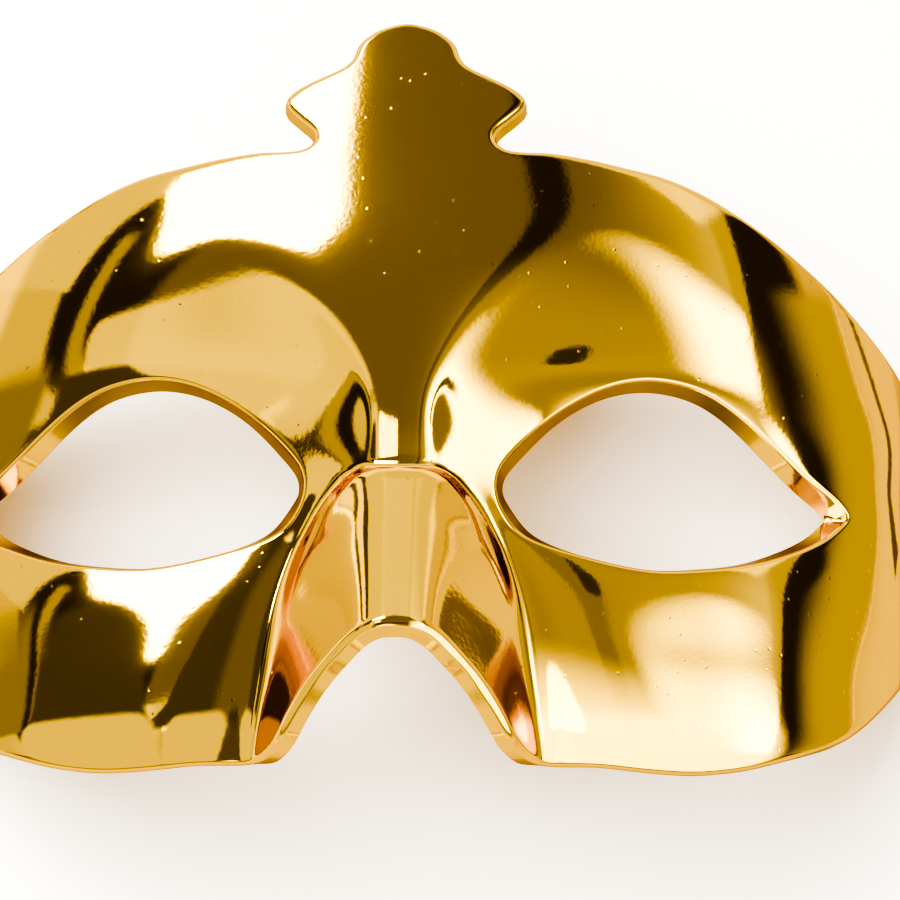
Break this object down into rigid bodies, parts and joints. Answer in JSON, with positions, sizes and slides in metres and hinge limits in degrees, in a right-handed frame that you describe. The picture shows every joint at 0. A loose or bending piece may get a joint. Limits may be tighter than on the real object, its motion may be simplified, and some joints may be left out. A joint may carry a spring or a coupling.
{
  "type": "masquerade eye mask",
  "caption": "Half-face masquerade mask of thin mirror-gold plastic with almond eye openings, rolled edges, a nose arch and a three-lobed finial, lying face up.",
  "frame": {"origin": "under the middle of the mask, on the surface that the temple ends rest on", "axes": "+Z out of the face, away from the wearer; +Y towards the finial at the top of the mask; +X towards the right-hand temple as seen from the front"},
  "size_m": [0.158, 0.116, 0.0524],
  "materials": {
    "gold_metallised_plastic": "mirror gold, vacuum metallised and lacquered"
  },
  "bodies": {
    "root": {"mask_shell": "gold_metallised_plastic"}
  },
  "joints": []
}
